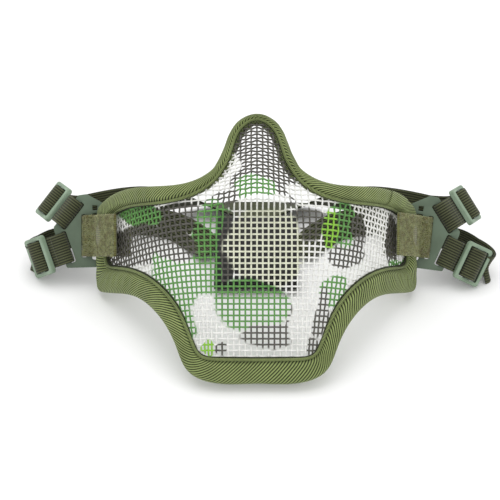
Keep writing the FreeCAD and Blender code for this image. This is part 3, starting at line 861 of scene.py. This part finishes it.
def ring_along_edge(name, share_of, rise_of, columns, uv_scale):
    """Closed band round the outline: a section given as shares across it and heights over the mesh."""
    t, total = knot_at_even_lengths(STATIONS)
    u = np.arange(columns) * math.tau / columns
    tt, uu = np.meshgrid(t, u, indexing="ij")
    width = section_width(t)[:, None]
    x, v = outline(tt.ravel(), share_of(uu, width).ravel())
    points, _ = face_point(x, v, rise_of(uu).ravel(), SLOPE_STEP)
    along = np.repeat(np.linspace(0, total, len(t))[:, None], columns, 1)
    uv = np.stack([along.ravel() / uv_scale, along.ravel()], -1)
    quads = grid_quads(STATIONS, columns, True, True)
    grid = world(points).reshape(STATIONS, columns, 3)
    return mesh_object(name, grid.reshape(-1, 3), facing_out(grid, grid[0].mean(0), quads), uv)


def section_width(t):
    """Width of the binding at each station, in millimetres."""
    return np.maximum(np.linalg.norm(sheet_line(t, 0.0) - sheet_line(t, 1.0), axis=1), 5.0)


def edge_roll():
    """The tape's hem, rolled over along the mesh."""
    return ring_along_edge("binding_roll", lambda u, w: ROLL_SHARE + ROLL_RADIUS * np.cos(u) / w,
                           lambda u: ROLL_RISE + ROLL_RADIUS * np.sin(u), 10, 0.55)


def foam_and_gap_shade_lining():
    """Dark band between the hem and the mesh: partly the foam that shows there, partly painted shade of the
    gap under the hem.
    """
    a, b = LINING_SHARES
    return ring_along_edge("foam_and_gap_shade_lining", lambda u, w: (a + b) / 2 + (b - a) / 2 * np.cos(u) + 0 * w,
                           lambda u: LINING_RISE + LINING_HALF * np.sin(u), 8, 1.3)


LAP_FROM_X, LAP_TO_X, LAP_LOW_V = 59.5, 67.5, 70.0
LAP_RISE, LAP_TURN, LAP_COLUMNS = 0.5, (0.02, 0.6), 70


def tape_lap():
    """The tape's end, sewn over its beginning on the upper right edge."""
    t, _ = knot_at_even_lengths(STATIONS)
    x, v = outline(t, np.full(len(t), 0.5))
    chosen = t[(x > LAP_FROM_X) & (x < LAP_TO_X) & (v > LAP_LOW_V)]
    p, turns, around = binding_grid(LAP_RISE, LAP_TURN, (chosen, len(chosen) * 0.35), LAP_COLUMNS)
    quads = grid_quads(len(chosen), LAP_COLUMNS, False)
    quads = facing_out(p, p.mean((0, 1)), quads, LAP_COLUMNS // 2)
    uv = np.stack([turns.ravel() + 0.5, around.ravel()], -1)
    return mesh_object("tape_lap", p.reshape(-1, 3), quads, uv)


rows = row_table()
for name, lines in (("wires_upright", upright_wires(*rows)), ("wires_across", across_wires(*rows))):
    dress(wires(name, lines), "mask", "camo_wire", replaces=["mesh_shell"])
front, back = binding()
for skin in (front, back):
    dress(skin, "mask", "binding_tape", replaces=["edge_binding"])
dress(edge_roll(), "mask", "binding_tape", replaces=["edge_binding"])
# The lining's dark colour is partly the foam and partly painted shade in the gap between hem and mesh.
dress(foam_and_gap_shade_lining(), "mask", "foam", replaces=["edge_foam"])
dress(tape_lap(), "mask", "binding_tape", replaces=["binding_lap"])


# ---- tabs
def tab_stations(side):
    """Stations of a tab from the ear's front, round the bar, to the ear's back."""
    sign, tab_v, drop, _ = SIDES[side]
    m = plate_frame(side)
    rows = []

    def on_ear(x, face):
        sink = drop * 0.5 * (x - TAB_FRONT_X[0]) / (EAR_END_X - TAB_FRONT_X[0])
        p, n = face_point(x, tab_v - sink, face * (BINDING_HALF + TAB_GAP + TAB_THICK / 2))
        rows.append([*p, 0, 1, 0, *(n * face)])

    for x in TAB_FRONT_X:
        on_ear(x, 1)
    loop = turtle((FRONT_BAR_P, LOOP_RADIUS), 0, [(LOOP_RADIUS, -180), TAB_LEG], 1.4)
    for x, z, a in loop:
        p = put(m, [x, 0, z])
        n = m[:3, :3] @ np.array([-math.sin(a), 0, math.cos(a)])
        rows.append([*p, *m[:3, 1], *n])
    for x in TAB_BACK_X:
        on_ear(x, -1)
    smooth = open_spline(rows, 110)
    flip = np.array([sign, 1, 1])
    across, out = (lean(unit(smooth[:, k:k + 3]) * flip) for k in (3, 6))
    return world(smooth[:, :3] * flip), across, out


PRESS_AT, PRESS_LONG, PRESS_WIDE = 19.0, 3.8, 0.5   # the pressed oval: place, half length, half share
PILE_COUNT, PILE_SHARE = 4200, 0.62        # the fibre loops, and how far they go along the tab
PILE_HALF, PILE_HIGH = (0.3, 0.9), (0.3, 0.8)
PILE_RADIUS, PILE_SIDES, PILE_STEPS = 0.07, 3, 6


def pile(name, centre, across, front, count=PILE_COUNT):
    """Tiny loops of fibre standing on the tab's outer face, none on its pressed oval."""
    tangent = unit(np.gradient(centre, axis=0))
    up = np.cross(tangent, across)
    up *= np.sign(np.sum(up * front, -1, keepdims=True))
    length = 1000 * lengths_along(centre)
    i = rng.uniform(0.5, len(centre) * PILE_SHARE, 2 * count)
    y = rng.uniform(-0.98, 0.98, 2 * count)
    beyond = (np.interp(i, np.arange(len(centre)), length) - PRESS_AT) / PRESS_LONG
    pressed = beyond ** 2 + (y / PRESS_WIDE) ** 2 < 1
    i, y = i[~pressed][:count], y[~pressed][:count]
    k = i.astype(int)
    f = (i - k)[:, None]
    place = (centre[k] * (1 - f) + centre[k + 1] * f
             + (across[k] * (y * TAB_WIDE / 2)[:, None] + up[k] * (TAB_THICK / 2 - 0.1)) / 1000)
    spin = rng.uniform(0, math.pi, count)[:, None]
    way = np.cos(spin) * tangent[k] + np.sin(spin) * across[k]
    side = np.cross(way, up[k])
    half = rng.uniform(*PILE_HALF, count)[:, None, None] / 1000
    high = rng.uniform(*PILE_HIGH, count)[:, None, None] / 1000
    step = np.linspace(-1, 1, PILE_STEPS)[None, :, None]
    line = place[:, None] + way[:, None] * half * step + up[k][:, None] * high * (1 - step ** 2)
    angle = np.arange(PILE_SIDES) * math.tau / PILE_SIDES
    ring = (np.cos(angle)[None, None, :, None] * up[k][:, None, None]
            + np.sin(angle)[None, None, :, None] * side[:, None, None])
    points = line[:, :, None] + PILE_RADIUS / 1000 * ring
    starts = np.arange(count)[:, None, None] * PILE_STEPS * PILE_SIDES
    quads = (grid_quads(PILE_STEPS, PILE_SIDES, True)[None] + starts).reshape(-1, 4)
    return mesh_object(name, points.reshape(-1, 3), quads)


def tab_section():
    """Cross-section of a tab, with finer ribs than the elastic."""
    section = strap_section(TAB_WIDE, TAB_THICK, 10, 0.05)
    section[:, 2] *= 2.2
    return section


for side in SIDES:
    centre, across, out = tab_stations(side)
    cloth_tab = strap("tab_cloth_" + side, centre, across, out, tab_section())
    dress(cloth_tab, "mask", "loop_cloth", replaces=["tab_" + side])
    dress(pile("tab_pile_" + side, centre, across, out), "mask", "loop_cloth", FIBRE)


# ---- elastic straps
# Rear straps, right half, as laid: centre (its last number counts from the ground) and direction
# across the strap.
REAR_UPPER = [((87, 117, 16), (-0.25, 0.35, 0.9)), ((58, 128, 14), (-0.05, 0.2, 1)),
              ((29, 135, 6.4), (0, -0.75, 0.66))]
REAR_LOWER = [((99, 100, 9.15), (-0.1, 0.1, 1)), ((70, 115.5, 7.75), (0, 0.05, 1)),
              ((42, 115, 6.55), (0, 0.45, 0.89)), ((21.2, KEEPER_Y, 3.4), (0, 1, 0))]
REAR_UPPER_MIDDLE_Y = 137.0
REAR_STEPS, RUN_STEPS, RUN_PULL, LEAD_STEPS = 150, 20, 1.3, 12


def leaned(p):
    """Leaned frame, in millimetres, to the record's frame, in metres."""
    return (np.asarray(p, float) + SHIFT) / 1000


def above_ground(centre, across):
    """The same line, raised where a strap laid along it would go under the ground."""
    need = STRAP_WIDE / 2 * np.abs(across[:, 2]) + STRAP_THICK / 2 + FLOOR_GAP
    centre[:, 2] = np.maximum(centre[:, 2], need / 1000)
    return centre


def rear_strap(name, stations, count):
    """Strap laid smoothly through the stations, held above the ground."""
    smooth = open_spline([[*centre, *unit(across)] for centre, across in stations], count)
    across = unit(smooth[:, 3:6])
    centre = above_ground(leaned(smooth[:, :3]), across)
    tangent = unit(np.gradient(centre, axis=0))
    return strap(name, centre, across, np.cross(tangent, across))


def side_of(stations, sign):
    """The stations on one side of the mask, in the leaned frame."""
    return [((sign * c[0], c[1], c[2] + FLOOR), (sign * a[0], a[1], a[2])) for c, a in stations]


def free_run(name, bend, bodies):
    """The free strap on from its bend, behind the plate, to the rear strap, in three lengths."""
    level, side = name.split("_")
    stations = side_of(REAR_UPPER if level == "upper" else REAR_LOWER, SIDES[side][0])
    end, end_across = leaned(stations[0][0]), unit(stations[0][1])
    ahead = unit(leaned(stations[1][0]) - end)
    start_across = unit(bend[1][-1])
    if np.dot(start_across, end_across) < 0:
        end_across = -end_across
    mixed = np.linspace(0, 1, 3 * RUN_STEPS + 1)[:, None]
    across = unit(start_across * (1 - mixed) + end_across * mixed)
    line = hermite(bend[0][-1], bend[3][-1], end, ahead, len(mixed), RUN_PULL)
    line = above_ground(line, across)
    chain = (bodies[1], bodies[0], "plate_" + side, "mask")
    for k in range(3):
        first, last = RUN_STEPS * k, RUN_STEPS * (k + 1)
        part, part_across = line[first:last + 1], across[first:last + 1]
        front = np.cross(unit(np.gradient(part, axis=0)), part_across)
        piece = strap(f"run_{k + 1}_{name}", part, part_across, front)
        dress(piece, None, "elastic", blend=(chain[k], chain[k + 1], line[first], line[last]))


def adjuster_straps(name):
    """Everything that the strap does between its plate and the rear strap."""
    turn, side = STRAPS[name][3], name.split("_")[1]
    sign = SIDES[side][0]
    on_strap, on_slider = strap_frame(name), slider_frame(name)
    loop = path_stations(on_strap, turtle((LEG_LENGTH, LOOP_RADIUS), 180,
                                          [LEG_LENGTH, (LOOP_RADIUS, 180), LEG_LENGTH]), sign)
    sewn = path_stations(on_slider, turtle((-SEW_RADIUS, 0), 90,
                                           [(SEW_RADIUS, -270), (SEW_LEG, SEW_TILT_DEG), SEW_RISE,
                                            (SEW_LEG, -SEW_TILT_DEG), SEW_END]), sign)
    bend = path_stations(on_slider, turtle((-SLIDER_LONG / 2 - 0.3, -DIP_RADIUS), 0,
                                           [BEND_START, (DIP_RADIUS, 90), (HUMP_RADIUS, -180),
                                            (DIP_RADIUS, 90), BEND_LEAD, (BEND_RADIUS, -turn),
                                            BEND_TAIL]), sign)
    bodies = ("strap_" + name, "adjuster_" + name)
    for part, path, body, node in (("loop", loop, bodies[0], "strap_loop_" + name),
                                   ("sewn", sewn, bodies[1], "sewn_end_" + name),
                                   ("bend", bend, bodies[1], "strap_bend_" + name)):
        dress(strap(f"{part}_elastic_{name}", *path[:3]), body, "elastic", replaces=[node])
    # Leads between the plate's loop and the slider: the free run in front and the sewn run behind.
    for part, a, b in (("front", (loop, 0, -1), (bend, 0, 1)), ("back", (loop, -1, 1), (sewn, -1, -1))):
        (s0, i0, w0), (s1, i1, w1) = a, b
        line = hermite(s0[0][i0], s0[3][i0] * w0, s1[0][i1], s1[3][i1] * w1, LEAD_STEPS)
        across = np.repeat(s0[1][:1], LEAD_STEPS, 0)
        lead = strap(f"lead_{part}_{name}", line, across, np.repeat(s0[2][i0][None], LEAD_STEPS, 0))
        dress(lead, None, "elastic", blend=(*bodies, line[0], line[-1]))
    free_run(name, bend, bodies)


middle = [((0, REAR_UPPER_MIDDLE_Y, FLOOR + FLOOR_GAP + STRAP_THICK / 2), (0, -1, 0))]
whole = side_of(REAR_UPPER, -1) + middle + side_of(REAR_UPPER, 1)[::-1]
dress(rear_strap("rear_upper_elastic", whole, 2 * REAR_STEPS), "mask", "elastic",
      replaces=["rear_strap_upper"])
for side, (sign, *_) in SIDES.items():
    dress(rear_strap("rear_lower_elastic_" + side, side_of(REAR_LOWER, sign), REAR_STEPS), "mask",
          "elastic", replaces=["rear_strap_lower_" + side])
for name in STRAPS:
    adjuster_straps(name)


# ---- keeper sleeve and folded slack
SLEEVE_ROWS, SLEEVE_COLUMNS, SLEEVE_SAG = 40, 240, 0.25


def sleeve(name):
    """Flat knitted sleeve: a thin closed tube with soft sags, long along X."""
    long, wide, high, wall = KEEPER
    half_y, half_z = wide / 2, high / 2
    xs = np.linspace(-long / 2, long / 2, SLEEVE_ROWS)
    phi = np.linspace(0, math.tau, SLEEVE_COLUMNS + 1)[:-1]
    y = signed_power(np.cos(phi), 0.35) * half_y
    z = signed_power(np.sin(phi), 0.7) * half_z
    px = np.repeat(xs[:, None], len(phi), 1)
    sag = np.abs(SLEEVE_SAG * np.sin(px / 6.0 + y / 9.0) * np.sin(phi) ** 2)
    skins = []
    for inset in (0, wall):
        skin_y = KEEPER_Y + y * (half_y - inset) / half_y
        skin_z = FLOOR + FLOOR_GAP + half_z + z * (half_z - inset) / half_z - sag
        skins.append(np.stack(np.broadcast_arrays(px, skin_y, skin_z), -1))
    p = np.concatenate([skins[0], skins[1][::-1]])
    quads = grid_quads(len(p), len(phi), True, True)
    uv = np.stack([np.tile(y, 2 * SLEEVE_ROWS), np.concatenate([px.ravel(), px.ravel()[::-1]])], -1)
    return mesh_object(name, leaned(p).reshape(-1, 3), quads, uv)


def folded_slack(name):
    """The lower strap's slack, folded over once inside the sleeve."""
    fold = turtle((-SLACK_LONG / 2, -SLACK_RADIUS), 0,
                  [SLACK_LONG, (SLACK_RADIUS, 180), SLACK_LONG - 1], 1.0)
    place = axes([0, KEEPER_Y, FLOOR + FLOOR_GAP + KEEPER[2] / 2], [1, 0, 0], [0, 1, 0])
    zero = np.zeros(len(fold))
    centre = leaned(put(place, np.stack([fold[:, 0], zero, fold[:, 1]], -1)))
    up = np.stack([-np.sin(fold[:, 2]), zero, np.cos(fold[:, 2])], -1)
    return strap(name, centre, np.repeat([[0, 1.0, 0]], len(fold), 0), up)


dress(sleeve("keeper_sleeve"), "mask", "keeper_cloth", replaces=["strap_keeper"])
dress(folded_slack("folded_slack"), "mask", "elastic", replaces=["strap_slack"])


# ---- plates and sliders
def softened(node, name):
    """A copy of a plate's CAD node with its sharp edges rounded over."""
    source = frame["nodes"][node]
    made = new_object(name, source.data.copy())
    work = bmesh.new()
    work.from_mesh(made.data)
    bmesh.ops.remove_doubles(work, verts=work.verts, dist=1e-6)
    bmesh.ops.dissolve_limit(work, angle_limit=math.radians(2), verts=work.verts, edges=work.edges)
    sharp = [e for e in work.edges if len(e.link_faces) == 2 and e.calc_face_angle() > math.radians(40)]
    bmesh.ops.bevel(work, geom=sharp, offset=PLATE_BEVEL, segments=3, profile=0.5, affect="EDGES",
                    clamp_overlap=True)
    bmesh.ops.triangulate(work, faces=work.faces)
    work.to_mesh(made.data)
    work.free()
    made.data.shade_smooth()
    made.data.set_sharp_from_angle(angle=math.radians(35))
    return dress(made, body_of(source)[0], "plate_plastic", replaces=[node])


for side in SIDES:
    softened("plate_" + side, "plate_body_" + side)
for name in STRAPS:
    node = frame["nodes"]["slider_" + name]
    node.data.materials.clear()
    node.data.materials.append(LOOKS["slider_plastic"])

# ---- stage, light and camera
FLOOR_HALF = 3.0
low, high = -FLOOR_HALF, FLOOR_HALF
corners = [(low, low, 0), (high, low, 0), (high, high, 0), (low, high, 0)]
floor_mesh = bpy.data.meshes.new("floor")
floor_mesh.from_pydata(corners, [], [(0, 1, 2, 3)])
floor = new_object("floor", floor_mesh)
floor_look = Look("floor", 0.9)
floor_look.shader.inputs["Base Color"].default_value = (0.93, 0.93, 0.93, 1)
floor_mesh.materials.append(floor_look.made)

sky = bpy.data.worlds.new("studio")
sky.use_nodes = True
glow = sky.node_tree.nodes["Background"].inputs
glow["Color"].default_value = (1, 1, 1, 1)
glow["Strength"].default_value = 0.9
SCENE.world = sky


def area_light(name, place, size, power):
    """Square lamp in metres and watts, turned to the mask."""
    data = bpy.data.lights.new(name, "AREA")
    data.size, data.energy = size, power
    made = new_object(name, data)
    made.location = place
    made.rotation_mode = "QUATERNION"
    made.rotation_quaternion = (Vector((0, 0, 0.03)) - Vector(place)).to_track_quat("-Z", "Y")


area_light("key", (-0.1, 0.35, 1.2), 1.2, 7.4)
area_light("fill", (0.5, -0.8, 0.7), 0.9, 1.0)

# The camera looks straight at the mouth panel, nearly level with its middle.
EYE = (-3.13, 59.9, 700.0)
pose = np.eye(4)
pose[:3] = np.stack([lean([1, 0, 0]), lean([0, 1, 0]), lean([0, 0, 1]), world(EYE)], -1)
camera_data = bpy.data.cameras.new("camera")
camera_data.sensor_width, camera_data.lens = 36.0, 112.7
camera_data.clip_start, camera_data.clip_end = 0.01, 20.0
camera = new_object("camera", camera_data)
camera.matrix_world = Matrix(pose.tolist())
SCENE.camera = camera
SCENE.view_settings.view_transform = "Standard"
